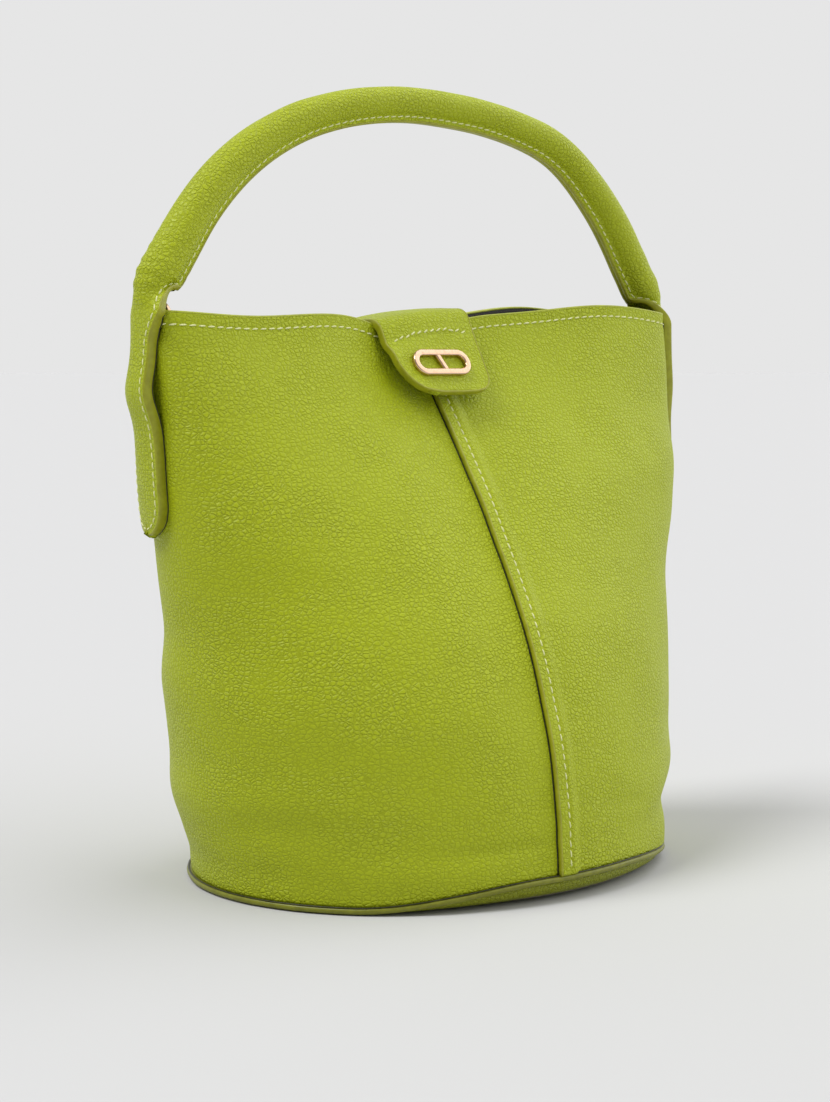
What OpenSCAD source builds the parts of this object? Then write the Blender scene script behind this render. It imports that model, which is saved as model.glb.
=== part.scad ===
// Soft leather bucket bag with one rolled top handle, a magnetic closure strap
// and a strap ring inside each end of the mouth. Millimetres, +Z up, front towards -Y.
// The origin is on the ground, under the centre of the bounding box.

/* [Body] */
// Height of the rim above the ground
rim_h = 240; // [200:1:300]
// Width of the base across the body leather
base_w = 220; // [180:1:270]
// Front to back depth of the base
base_d = 186; // [150:1:230]
// Width of the flattened mouth
mouth_w = 280; // [250:1:340]
// Depth of the mouth at its middle, where the strap pulls it shut
mouth_gap = 18; // [16:1:24]
// Depth of the mouth at its two ends
mouth_end_d = 32; // [31:1:40]
// How far the mouth sits behind the middle of the base
mouth_back = 9; // [0:1:14]
// How far the front rim dips under the strap
rim_dip = 5; // [0:0.5:6]
// Thickness of the body leather
leather_t = 1.6; // [1.2:0.1:2]

/* [Lapped seams] */
// Distance of the front lap's raw edge left of the middle
lap_edge = 9; // [6:0.5:12]
// Width of the lap before it dips back to the body surface
lap_w = 13; // [10:0.5:18]

/* [Base] */
// Height of the welt round the base
welt_h = 3.4; // [2.5:0.1:4.5]
// How far the welt stands out past the body leather
welt_out = 2.5; // [1.5:0.1:4]
// Width of the welt strip, in plan
welt_w = 6; // [5:0.5:8]
// Thickness of the base leather
base_t = 2; // [1.6:0.1:2.4]
// Thickness of the stiffening board on the base
board_t = 1.6; // [1:0.1:3]

/* [Inside] */
// Height of the leather facing inside the rim
facing_h = 22; // [18:1:32]
// Thickness of that facing
facing_t = 1.2; // [1:0.1:1.5]
// Thickness of the lining cloth
lining_t = 0.7; // [0.5:0.1:1]
// Space left between layers that are sewn or glued together
layer_gap = 0.3; // [0.25:0.05:0.4]

/* [Handle] */
// Height of the top of the handle above the ground, with the rim at its own height
handle_rise = 98; // [85:1:120]
// Outside diameter of the rolled handle
roll_d = 15; // [13:0.5:18]
// Radius of the arch along its crown
crown_r = 190; // [170:5:220]
// Radius of the arch at its shoulders
shoulder_r = 122; // [112:1:130]
// Slope of the straight legs, from the level
leg_slope = 56; // [52:1:60]
// Height of the bend line above the rim, where the flat ends flex
bend_rise = 6; // [5:0.5:9]
// Width of the narrow neck that bends
neck_w = 18; // [14:1:20]
// Width of the flat ends sewn to the sides
end_w = 28; // [24:1:32]
// How far the flat ends reach below the rim
end_drop = 90; // [70:1:110]
// Thickness of the handle leather at the flat ends
end_t = 2; // [1.6:0.1:2.4]
// Thickness of the backing leather behind each flat end
backing_t = 1.8; // [1.2:0.1:2.2]
// Largest swing of the handle to front or back, in degrees
swing = 55; // [30:1:60]

/* [Closure strap] */
// Width of the strap
strap_w = 46; // [40:1:52]
// Sideways place of the strap's middle
strap_x = -3; // [-6:0.5:6]
// Length of the flap below the snap's centre, along the leather
flap_below = 18; // [15:0.5:24]
// Corner radius of the flap
flap_r = 15; // [10:0.5:18]
// Height of the snap's centre below the rim
snap_drop = 20; // [18:0.5:24]
// Length of the strap's root, sewn down the back
root_drop = 30; // [22:1:36]
// Thickness of the strap leather
strap_t = 1.6; // [1.2:0.1:2]
// Thickness of the strap's lining leather
strap_lining_t = 1.2; // [1:0.1:1.6]

/* [Magnetic snap and badge] */
// Diameter of the snap's two halves
snap_d = 14; // [12:0.5:16]
// Thickness of the socket half
socket_t = 1.6; // [1.4:0.1:2.4]
// Diameter of the stud's nub
nub_d = 5; // [4:0.1:6]
// Radial clearance of the nub in the socket
nub_clear = 0.6; // [0.5:0.1:1]
// Length of the badge
badge_w = 28; // [24:0.5:32]
// Height of the badge
badge_h = 10; // [8:0.5:12]
// Thickness of the badge
badge_t = 1.8; // [1.2:0.1:2.4]

/* [Strap rings] */
// Inside width of each D-ring
ring_w = 11; // [9:0.5:12]
// Wire diameter of each D-ring
ring_wire = 2.5; // [2:0.1:3]
// Outside height of each D-ring
ring_h = 16.5; // [15:0.5:20]
// Height of each ring's bar below the rim
ring_drop = 11; // [10:0.5:16]
// Outward lean of a ring at rest, in degrees
ring_lean = 4; // [0:1:8]
// Width of the leather loop that holds a ring
loop_w = 9; // [6:0.5:10]
// Thickness of the loop leather
loop_t = 1.2; // [1:0.1:1.6]

/* [Hidden] */
$fn = 64;
eps = 0.01;
air = 0.3;               // gap between pieces that move past each other

lime = [0.60, 0.66, 0.14];
edge_paint = [0.55, 0.53, 0.10];
gold = [0.83, 0.62, 0.42];
cloth = [0.16, 0.15, 0.14];
board_grey = [0.45, 0.43, 0.40];

// ---------------------------------------------------------------- body surface
// share runs from 0 at the foot of the leather to 1 at the rim.
wall_foot = welt_h + air;
function share_at(z) = (z - wall_foot) / (rim_h - wall_foot);
function smooth(v) = let (s = min(1, max(0, v))) s * s * (3 - 2 * s);
function half_w(share) = base_w / 2 + (mouth_w - base_w) / 2 * (1 - pow(1 - share, 1.6));
function middle_d(share) =
    mouth_gap / 2 + (base_d - mouth_gap) / 2 * pow(1 - pow(share, 2.4), 1.45);
function mid_y(share) = mouth_back * share;
function boxiness(share) = 2 + 0.3 * share + 2.7 * pow(max(0, 2 * share - 1), 2);

// The mouth is deeper at its ends than where the strap holds it shut.
function end_flare(x, share) =
    (mouth_end_d - mouth_gap) / 2 * smooth((share - 0.72) / 0.28) * (1 - exp(-pow(x / 58, 2)));
function rim_at(x, side) = rim_h - (side < 0 ? rim_dip * exp(-pow(x / 38, 2)) : 0);

// A point of the body at x, on the front (side -1) or back (side 1), moved out by off.
function depth_at(x, share, off) =
    let (across = min(1, abs(x) / (half_w(share) + off)), n = boxiness(share))
    (middle_d(share) + end_flare(x, share) + off) * pow(1 - pow(across, n), 1 / n);
function body_at(x, side, share, off) = [
    x,
    mid_y(share) + side * depth_at(x, share, off),
    wall_foot + share * (rim_at(x, side) - wall_foot)
];

// Columns run round the bag anticlockwise from the left of the front seam. Those beside
// the seams stay at a fixed x, and those round the ends share out the rest.
seam_x = [-lap_edge - 6, -lap_edge, -lap_edge + 4, -lap_edge + lap_w - 5,
          -lap_edge + lap_w, -lap_edge + lap_w + 6];
side_steps = 22;
front_cols = len(seam_x);
cols = 2 * front_cols + 2 * (side_steps - 1);
function end_turn(step, share, off, x_from, x_to) =
    let (w = half_w(share) + off, a = acos(x_from / w), b = acos(x_to / w))
    -a + (a + b) * step / side_steps;
function col_point(c, share, off) =
    c < front_cols ? body_at(seam_x[c], -1, share, off)
    : c < front_cols + side_steps - 1 ?
        let (turn = end_turn(c - front_cols + 1, share, off, seam_x[front_cols - 1], -seam_x[0]),
             x = (half_w(share) + off) * cos(turn))
        body_at(x, sign(turn) == 0 ? 1 : sign(turn), share, off)
    : c < 2 * front_cols + side_steps - 1 ?
        body_at(-seam_x[c - front_cols - side_steps + 1], 1, share, off)
    :   let (turn = end_turn(c - 2 * front_cols - side_steps + 2, share, off,
                             seam_x[front_cols - 1], -seam_x[0]),
             x = -(half_w(share) + off) * cos(turn))
        body_at(x, sign(turn) == 0 ? -1 : -sign(turn), share, off);

// The lap: the panel's first columns lie over the other panel's last ones.
lap_lift = leather_t + layer_gap;
function lap_off(step) = step <= 3 ? lap_lift : step == 4 ? 0.45 * lap_lift : 0;

rows = [0, 0.05, 0.14, 0.24, 0.34, 0.44, 0.54, 0.63, 0.71, 0.78, 0.84, 0.89, 0.93, 0.965, 1];

// A closed skin: a list of outer rows and inner rows of points, open or closed round.
module skin(outer, inner, closed_round) {
    r = len(outer);
    c = len(outer[0]);
    wrap = closed_round ? c : c - 1;
    points = concat([for (row = outer) for (p = row) p], [for (row = inner) for (p = row) p]);
    function o(i, j) = i * c + j % c;
    function n(i, j) = r * c + i * c + j % c;
    walls = [for (i = [0 : r - 2], j = [0 : wrap - 1]) each [
        [o(i, j), o(i + 1, j), o(i + 1, j + 1)], [o(i, j), o(i + 1, j + 1), o(i, j + 1)],
        [n(i, j), n(i + 1, j + 1), n(i + 1, j)], [n(i, j), n(i, j + 1), n(i + 1, j + 1)]]];
    ends = [for (j = [0 : wrap - 1]) each [
        [o(0, j), o(0, j + 1), n(0, j + 1)], [o(0, j), n(0, j + 1), n(0, j)],
        [o(r - 1, j), n(r - 1, j + 1), o(r - 1, j + 1)],
        [o(r - 1, j), n(r - 1, j), n(r - 1, j + 1)]]];
    sides = closed_round ? [] : [for (i = [0 : r - 2]) each [
        [o(i, 0), n(i, 0), n(i + 1, 0)], [o(i, 0), n(i + 1, 0), o(i + 1, 0)],
        [o(i, c - 1), n(i + 1, c - 1), n(i, c - 1)],
        [o(i, c - 1), o(i + 1, c - 1), n(i + 1, c - 1)]]];
    polyhedron(points, concat(walls, ends, sides), convexity = 8);
}

// One half of the body, from its lap's raw edge round the end to under the other lap.
panel_cols = front_cols - 1 + (side_steps - 1) + 4;
module body_panel(first) {
    function row(share, off) = [for (k = [0 : panel_cols - 1])
        col_point((first + k) % cols, share, off + lap_off(k))];
    skin([for (s = rows) row(s, 0)], [for (s = rows) row(s, -leather_t)], false);
}

// A full ring of cloth or leather inside the body, between two heights.
module inner_ring(share_from, share_to, off, thick) {
    steps = concat([share_from], [for (s = rows) if (s > share_from + 0.01 && s < share_to - 0.01) s],
                   [share_to]);
    function row(share, d) = [for (c = [0 : cols - 1]) col_point(c, share, d)];
    skin([for (s = steps) row(s, off)], [for (s = steps) row(s, off - thick)], true);
}

module left_body_panel() { color(lime) body_panel(1 + front_cols + side_steps - 1); }
module right_body_panel() { color(lime) body_panel(1); }

facing_off = -leather_t - layer_gap;
facing_foot = share_at(rim_h - facing_h);
module mouth_facing() { color(lime) inner_ring(facing_foot, 1, facing_off, facing_t); }
module lining_wall() {
    color(cloth) inner_ring(0.03, facing_foot - 0.004, facing_off, lining_t);
}

// ---------------------------------------------------------------- base
module oval(grow) {
    polygon([for (a = [0 : 5 : 355])
        [(base_w / 2 + grow) * cos(a), (base_d / 2 + grow) * sin(a)]]);
}
module plate(grow, from, thick) { translate([0, 0, from]) linear_extrude(thick) oval(grow); }

module base_panel() { color(lime) plate(welt_out - welt_w - layer_gap, 0, base_t); }
module base_welt() {
    color(edge_paint) difference() {
        plate(welt_out, 0, welt_h);
        plate(welt_out - welt_w, -1, welt_h + 2);
    }
}
board_in = welt_out - welt_w - 2 * layer_gap;
module base_board() { color(board_grey) plate(board_in, base_t + layer_gap, board_t); }
floor_z = base_t + board_t + 2 * layer_gap;
module lining_floor() { color(cloth) plate(board_in - 1, floor_z, lining_t); }

// ---------------------------------------------------------------- handle
bend_z = rim_h + bend_rise;
end_gap = 0.5;           // sewn backing to body leather, which is faceted
backing_in = end_gap;
end_in = backing_in + backing_t + layer_gap;
end_thick = end_t + layer_gap;
neck_x = mouth_w / 2 + end_in;
neck_t = end_t + 2.2;    // the neck keeps its filler between two leathers
spread = 3.6;            // room beside the neck for the roll where it opens out

// A strip of the given thickness along a line of points, seen edge on.
function turned(v) = [-v[1], v[0]] / norm(v);
function line_normal(p, i) =
    turned(p[min(i + 1, len(p) - 1)] - p[max(i - 1, 0)]);
module strip(p, low, high) {
    polygon(concat([for (i = [0 : len(p) - 1]) p[i] + high * line_normal(p, i)],
                   [for (i = [len(p) - 1 : -1 : 0]) p[i] + low * line_normal(p, i)]));
}

// Flat end outline, looking along X: y across, z up.
module end_outline(tip_z, top_z, w) {
    hull() {
        translate([mouth_back, tip_z + w / 2 - 1]) circle(w / 2 - 1, $fn = 32);
        translate([mouth_back - w / 2, top_z - 1]) square([w, 1]);
    }
}
module along_x(x, thick) {
    translate([x, 0, 0]) rotate([90, 0, 90]) linear_extrude(thick) children();
}

// The side of the body, seen from the front: x outwards, z up.
end_tip_z = rim_h - end_drop;
side_line = [for (z = [end_tip_z - 4 : (end_drop + 12) / 6 : rim_h + 8.1])
    [half_w(min(1, share_at(z))), z]];
module side_strip(from, to) {
    translate([0, 60, 0]) rotate([90, 0, 0]) linear_extrude(120) strip(side_line, -to, -from);
}

module bend_room() {
    translate([0, mouth_back, bend_z]) {
        rotate([0, 90, 0]) cylinder(h = 2 * mouth_w, r = neck_w / 2 + air);
        for (turn = [-swing - 1, 0, swing + 1]) rotate([turn, 0, 0]) {
            translate([0, -neck_w / 2 - air, 0]) cube([2 * mouth_w, neck_w + 2 * air, 60]);
            translate([0, -neck_w / 2 - spread, 1])
                cube([2 * mouth_w, neck_w + 2 * spread, 60]);
        }
    }
}

module right_end() {
    color(lime) difference() {
        intersection() {
            side_strip(end_in, end_in + end_t);
            along_x(0, mouth_w) end_outline(end_tip_z, bend_z, end_w);
        }
        bend_room();
    }
}
module right_backing() {
    color(edge_paint) intersection() {
        side_strip(backing_in, backing_in + backing_t);
        along_x(0, mouth_w)
            end_outline(end_tip_z + 1, bend_z - neck_w / 2 - 2, end_w - 1);
    }
}
module right_handle_end() { right_end(); }
module left_handle_end() { mirror([1, 0, 0]) right_end(); }
module right_end_backing() { right_backing(); }
module left_end_backing() { mirror([1, 0, 0]) right_backing(); }

// Centre line of the arch, seen from the front: x outwards, z up. From its crown it runs
// round a wide arc and a tighter one, down a straight leg and over to the bend line.
crown_z = rim_h + handle_rise - roll_d / 2;
crown_angle = 16.5;
shoulder_cx = (crown_r - shoulder_r) * sin(crown_angle);
shoulder_cz = crown_z - crown_r + (crown_r - shoulder_r) * cos(crown_angle);
leg_start = [shoulder_cx + shoulder_r * sin(leg_slope), shoulder_cz + shoulder_r * cos(leg_slope)];
leg_end_z = bend_z + 20;
leg_end = leg_start
    + (leg_start[1] - leg_end_z) * [cos(leg_slope) / sin(leg_slope), -1];
bend_at = [neck_x + neck_t - roll_d / 2, bend_z];
bend_pull = 7;

function curve(p0, p1, p2, p3, t) =
    pow(1 - t, 3) * p0 + 3 * pow(1 - t, 2) * t * p1 + 3 * (1 - t) * t * t * p2 + pow(t, 3) * p3;
function arc_point(cx, cz, r, a) = [cx + r * sin(a), cz + r * cos(a)];

// Stations of one half of the arch: place, direction of travel from level, and how far
// the roll has opened out, from 0 rolled to 1 flat.
function leg_dir(t) = leg_slope + (90 - leg_slope) * t;
half_path = concat(
    [for (a = [0 : crown_angle / 3 : crown_angle - 1])
        [arc_point(0, crown_z - crown_r, crown_r, a), a, 0]],
    [for (a = [crown_angle : (leg_slope - crown_angle) / 8 : leg_slope + 0.1])
        [arc_point(shoulder_cx, shoulder_cz, shoulder_r, a), a, 0]],
    [for (t = [0.5, 1]) [leg_start + t * (leg_end - leg_start), leg_slope, 0]],
    [for (t = [0.15 : 0.17 : 1.001])
        [curve(leg_end, leg_end + bend_pull * [cos(leg_slope), -sin(leg_slope)],
               bend_at + [0, bend_pull], bend_at, t), leg_dir(t), smooth(t)]]);
neck_path = [for (v = [0.35, 0.65, 0.85, 0.97]) [bend_at - [0, v * neck_w / 2], 90, 1]];
function mirrored(st) = [[-st[0][0], st[0][1]], -st[1], st[2]];
function both_ways(half) = concat([for (i = [len(half) - 1 : -1 : 1]) mirrored(half[i])], half);
function out_of(st) = [sin(st[1]), cos(st[1])];

wrap_t = 1.6;
core_d = roll_d - 2 * wrap_t - 2 * layer_gap;
seam_slit = 0.8;
roll_steps = 14;

// The leather across one station, a sheet bent round the centre line. The rolled sheet
// leaves a slit at the seam, on the inside of the arch, and opens out flat at the neck.
function station_half(st) = st[2] < 1 ? neck_w / 2
    : let (below = (bend_z - st[0][1]) / (neck_w / 2)) neck_w / 2 * sqrt(1 - below * below);
function sheet_t(st) = wrap_t + (neck_t - wrap_t) * st[2];
function wrap_point(st, q, depth) =
    let (rolled = PI * (roll_d / 2) - seam_slit / 2,
         half_len = rolled + (station_half(st) - rolled) * st[2],
         bend = 180 * rolled / (PI * roll_d / 2) * (1 - st[2]) + 0.5,
         r = half_len / bend * 180 / PI,
         a = q * bend,
         out = roll_d / 2 - r + (r - depth) * cos(a),
         place = st[0] + out * out_of(st))
    [place[0], mouth_back + (r - depth) * sin(a), place[1]];

// A solid swept through closed rings of points, closed by flat fans at both ends.
module swept(rings) {
    c = len(rings[0]);
    r = len(rings);
    walls = [for (i = [0 : r - 2], j = [0 : c - 1]) each [
        [i * c + j, i * c + (j + 1) % c, (i + 1) * c + (j + 1) % c],
        [i * c + j, (i + 1) * c + (j + 1) % c, (i + 1) * c + j]]];
    // Each end is closed across, from the ring's first and last points inwards.
    function cap(i) = [for (j = [0 : c / 2 - 2])
        each [[i * c + j, i * c + c - 1 - j, i * c + c - 2 - j],
              [i * c + j, i * c + c - 2 - j, i * c + j + 1]]];
    function flipped(faces) = [for (f = faces) [f[0], f[2], f[1]]];
    polyhedron([for (ring = rings) for (p = ring) p],
               concat(walls, cap(0), flipped(cap(r - 1))), convexity = 8);
}

module handle_wrap() {
    function ring(st) = concat(
        [for (i = [0 : roll_steps]) wrap_point(st, 2 * i / roll_steps - 1, 0)],
        [for (i = [roll_steps : -1 : 0]) wrap_point(st, 2 * i / roll_steps - 1, sheet_t(st))]);
    color(lime) swept([for (st = both_ways(concat(half_path, neck_path))) ring(st)]);
}
core_sides = 16;
module handle_core() {
    function ring(st) = [for (i = [0 : core_sides - 1])
        let (a = 360 * (i + 0.5) / core_sides,
             place = st[0] + core_d / 2 * cos(a) * out_of(st))
        [place[0], mouth_back + core_d / 2 * sin(a), place[1]]];
    color(cloth) swept([for (st = both_ways([for (st = half_path) if (st[2] == 0) st])) ring(st)]);
}

// ---------------------------------------------------------------- strap rings
ring_z = rim_h - ring_drop;
loop_in_r = ring_wire / 2 + 0.15;
loop_out_r = loop_in_r + loop_t;
loop_wall_x = min(half_w(share_at(ring_z - 24)) - leather_t - layer_gap - facing_t,
                  half_w(share_at(ring_z)) - leather_t - layer_gap - facing_t) - 0.6;
ring_x = loop_wall_x - loop_out_r;
loop_tail = 20;

module right_loop() {
    color(lime) translate([0, mouth_back + loop_w / 2, 0]) rotate([90, 0, 0])
        linear_extrude(loop_w) difference() {
            union() {
                translate([ring_x, ring_z]) circle(loop_out_r);
                translate([loop_wall_x - 2 * loop_t, ring_z - loop_tail])
                    square([2 * loop_t, loop_tail]);
            }
            translate([ring_x, ring_z]) circle(loop_in_r);
        }
}

// A D-ring standing on its bar, in the YZ plane: the bar lies along Y through the origin.
module d_ring() {
    r = ring_wire / 2;
    half = ring_w / 2 + r;
    arm = ring_h - r - half - r;
    rotate([90, 0, 0]) cylinder(h = 2 * half, r = r, center = true);
    for (side = [-1, 1]) translate([0, side * half, 0]) {
        sphere(r);
        cylinder(h = arm, r = r);
    }
    translate([0, 0, arm]) rotate([0, -90, 0]) rotate([0, 0, -90])
        rotate_extrude(angle = 180) translate([half, 0]) circle(r);
}
module right_ring() {
    color(gold) translate([ring_x, mouth_back, ring_z]) rotate([0, ring_lean, 0]) d_ring();
}
module right_ring_loop() { right_loop(); }
module left_ring_loop() { mirror([1, 0, 0]) right_loop(); }
module right_d_ring() { right_ring(); }
module left_d_ring() { mirror([1, 0, 0]) right_ring(); }

// ---------------------------------------------------------------- closure strap
// The flap lies on a plane through the snap's centre, square to the front there.
snap_z = rim_h - snap_drop;
function front_y(z) = body_at(strap_x, -1, share_at(z), lap_lift)[1];
function back_y(z) = body_at(strap_x, 1, share_at(z), lap_lift)[1];
slope = atan2(front_y(snap_z + 10) - front_y(snap_z - 10), 20);
snap_y = front_y(snap_z);
socket_lift = 0.9;       // the flat socket on the curved lap

// Places its children with +Z out of the front at the snap and +Y up along the leather.
module at_snap() {
    translate([strap_x, snap_y, snap_z]) rotate([90 - slope, 0, 0])
        translate([0, 0, socket_lift]) children();
}

stud_z = socket_t + 0.2;
flange_t = 0.6;
nub_from = 0.8;          // how near the nub comes to the foot of the socket
lining_z = stud_z + flange_t + 0.1;
outer_z = lining_z + strap_lining_t + 0.1;
badge_z = outer_z + strap_t;
washer_t = 0.6;
pin_d = 1.5;
pin_x = badge_w / 2 - 5;
pin_head = 4.4;
snap_below_badge = 0;

// Strap line, seen from the right: y across, z up, as the underside of the lining.
snap_up = [sin(slope), cos(slope)];
snap_out = [-cos(slope), sin(slope)];
flat_from = [snap_y, snap_z] + (socket_lift + lining_z) * snap_out;
crest_z = rim_h + 1.2;
rise = (crest_z - 3.5 - flat_from[1]) / snap_up[1];
turn_from = flat_from + rise * snap_up;
hinge_y = back_y(rim_h) + 2.4;
hinge_z = rim_h + 0.9;
knuckle_r = (strap_t + strap_lining_t + 0.1) / 2 + 0.6;
strap_line = concat(
    [flat_from - flap_below * 1.2 * snap_up, flat_from, turn_from],
    [for (a = [20 : 20 : 60]) turn_from + 4.5 * [1.35 * (1 - cos(a * 1.45)) + 0.12 * sin(a), 0.78 * sin(a * 1.45)]],
    [[hinge_y - 7, crest_z], [hinge_y - 4, crest_z - 0.1], [hinge_y, crest_z - 1.2]]);

module strap_side(low, high) {
    translate([strap_x - strap_w, 0, 0]) rotate([90, 0, 90]) linear_extrude(2 * strap_w)
        strip(strap_line, low, high);
}
// Flap outline in the snap's plane: a strip with a rounded, slightly tapered end.
module flap_outline(grow) {
    hull() {
        for (side = [-1, 1]) {
            translate([side * (strap_w / 2 - flap_r - 2), flap_r - flap_below])
                circle(flap_r + grow, $fn = 48);
            translate([side * (strap_w / 2 - 1), 24]) circle(1 + grow, $fn = 24);
        }
    }
}
module flap_plan(grow) {
    at_snap() translate([0, 0, -6]) linear_extrude(20) flap_outline(grow);
    translate([strap_x - strap_w / 2 - grow, -30, snap_z + 14])
        cube([strap_w + 2 * grow, 100, 60]);
}

module strap_outer() {
    low = strap_lining_t + 0.1;
    color(lime) difference() {
        union() {
            intersection() {
                strap_side(low, low + strap_t);
                flap_plan(0);
            }
            strap_knuckle();
        }
        at_snap() {
            translate([0, 0, outer_z - 1]) cylinder(h = 1 + washer_t + 0.2, d = 10.6);
            for (side = [-1, 1]) translate([side * pin_x, 0, outer_z - 1]) {
                cylinder(h = 4, d = pin_d + 0.2);
                cylinder(h = 1 + washer_t + 0.1, d = pin_head + 0.4);
            }
        }
    }
}
// Rounded root of the strap, on its bend line.
module strap_knuckle() {
    difference() {
        translate([strap_x - strap_w / 2, hinge_y, hinge_z]) rotate([0, 90, 0])
            cylinder(h = strap_w, r = knuckle_r);
        strap_side(-3, strap_lining_t + 0.1);
    }
}
module strap_lining() {
    color(edge_paint) difference() {
        intersection() {
            strap_side(0, strap_lining_t);
            flap_plan(-0.4);
        }
        at_snap() translate([0, 0, lining_z - 2]) cylinder(h = 5, d = 3.4);
        translate([strap_x - strap_w, hinge_y, hinge_z]) rotate([0, 90, 0])
            cylinder(h = 2 * strap_w, r = knuckle_r + 0.1);
    }
}

// The root follows the back leather down from the bend line.
root_line = [for (z = [rim_h - root_drop : root_drop / 6 : rim_h + 3])
    [back_y(min(rim_h, z)) + 0.5, z]];
module strap_root() {
    color(lime) difference() {
        intersection() {
            translate([strap_x - strap_w / 2, 0, 0]) rotate([90, 0, 90])
                linear_extrude(strap_w) strip(root_line, -strap_t - strap_lining_t, 0);
            translate([strap_x - strap_w / 2, 0, rim_h - root_drop + 1])
                cube([strap_w, base_d, root_drop + 1]);
        }
        translate([strap_x - strap_w, hinge_y, hinge_z]) rotate([0, 90, 0])
            cylinder(h = 2 * strap_w, r = knuckle_r + air);
    }
}

// ---------------------------------------------------------------- magnetic snap
module snap_socket() {
    color(gold) at_snap() difference() {
        cylinder(h = socket_t, d = snap_d);
        translate([0, 0, 0.3]) cylinder(h = socket_t, d = nub_d + 2 * nub_clear);
    }
}
inner_z = -socket_lift - lap_lift - leather_t - layer_gap - facing_t - 2.1;
module socket_washer() {
    color(gold) at_snap() translate([0, 0, inner_z - washer_t]) difference() {
        cylinder(h = washer_t, d = snap_d);
        translate([0, 0, -1]) cylinder(h = 3, d = 4);
    }
}
module washer_patch() {
    color(lime) at_snap() translate([-11, -11, inner_z - washer_t - 0.1 - facing_t])
        linear_extrude(facing_t) offset(3) translate([3, 3]) square(16);
}
module snap_stud() {
    color(gold) at_snap() {
        translate([0, 0, nub_from]) cylinder(h = stud_z - nub_from + eps, d = nub_d);
        translate([0, 0, stud_z]) cylinder(h = flange_t, d = snap_d - 2);
        translate([0, 0, stud_z + flange_t - eps])
            cylinder(h = outer_z + washer_t - stud_z - flange_t + 0.1, d = 3);
    }
}
module stud_washer() {
    color(gold) at_snap() translate([0, 0, outer_z + 0.05]) difference() {
        cylinder(h = washer_t - 0.1, d = 10);
        translate([0, 0, -1]) cylinder(h = 3, d = 3.2);
    }
}

// ---------------------------------------------------------------- badge
module badge_plan(grow) {
    hull() for (side = [-1, 1])
        translate([side * (badge_w - badge_h) / 2, 0]) circle(d = badge_h + 2 * grow);
}
module badge() {
    color(gold) at_snap() {
        translate([0, snap_below_badge, badge_z + 0.1]) difference() {
            linear_extrude(badge_t) badge_plan(0);
            translate([0, 0, badge_t - 0.7]) linear_extrude(1) badge_plan(-1.3);
        }
        for (side = [-1, 1]) translate([side * pin_x, 0, outer_z + 0.1])
            cylinder(h = badge_z - outer_z + 0.1, d = pin_d);
    }
}
module badge_washer(side) {
    color(gold) at_snap() translate([side * pin_x, 0, outer_z + 0.05]) difference() {
        cylinder(h = washer_t - 0.1, d = pin_head);
        translate([0, 0, -1]) cylinder(h = 3, d = pin_d + 0.1);
    }
}
module left_badge_washer() { badge_washer(-1); }
module right_badge_washer() { badge_washer(1); }

left_body_panel();
right_body_panel();
base_panel();
base_welt();
base_board();
lining_wall();
lining_floor();
mouth_facing();
left_handle_end();
right_handle_end();
left_end_backing();
right_end_backing();
handle_wrap();
handle_core();
left_ring_loop();
right_ring_loop();
left_d_ring();
right_d_ring();
strap_root();
strap_outer();
strap_lining();
snap_socket();
socket_washer();
washer_patch();
snap_stud();
stud_washer();
badge();
left_badge_washer();
right_badge_washer();
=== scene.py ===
"""Soft leather bucket bag with a rolled top handle and a closure strap.

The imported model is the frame. Leather, threads, painted edges and lining are modelled round it.
Lengths are in millimetres, and finish_mesh turns them into metres.
"""

import math
import random

import bmesh
import bpy
from mathutils import Matrix, Vector, noise


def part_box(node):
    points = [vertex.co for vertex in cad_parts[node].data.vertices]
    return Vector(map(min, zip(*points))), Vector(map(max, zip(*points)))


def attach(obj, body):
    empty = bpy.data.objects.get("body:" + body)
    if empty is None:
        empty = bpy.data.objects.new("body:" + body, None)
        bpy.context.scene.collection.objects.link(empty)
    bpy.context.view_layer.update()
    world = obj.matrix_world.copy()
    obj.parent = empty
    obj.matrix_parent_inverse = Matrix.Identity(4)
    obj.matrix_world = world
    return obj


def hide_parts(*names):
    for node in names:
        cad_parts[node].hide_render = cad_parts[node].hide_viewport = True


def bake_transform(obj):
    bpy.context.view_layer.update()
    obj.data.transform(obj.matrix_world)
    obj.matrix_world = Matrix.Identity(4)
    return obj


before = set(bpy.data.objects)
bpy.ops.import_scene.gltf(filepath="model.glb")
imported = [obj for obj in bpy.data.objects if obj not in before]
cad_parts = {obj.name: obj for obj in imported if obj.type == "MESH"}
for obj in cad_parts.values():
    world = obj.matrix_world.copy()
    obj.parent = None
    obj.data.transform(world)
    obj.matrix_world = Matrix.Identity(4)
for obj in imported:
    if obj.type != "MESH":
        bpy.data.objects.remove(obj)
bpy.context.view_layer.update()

MM = 0.001
SIDES = ((-1, "left"), (1, "right"))


def rad(angle):
    return math.radians(angle)


def node_box(node):
    """The corners of a CAD node, in millimetres."""
    low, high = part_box(node)
    return Vector(low) / MM, Vector(high) / MM


# ------------------------------------------------------------------ sizes
welt_high = node_box("base_welt")[1]
panel_high = node_box("right_body_panel")[1]
facing_low = node_box("mouth_facing")[0]
wrap_high = node_box("handle_wrap")[1]

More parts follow.
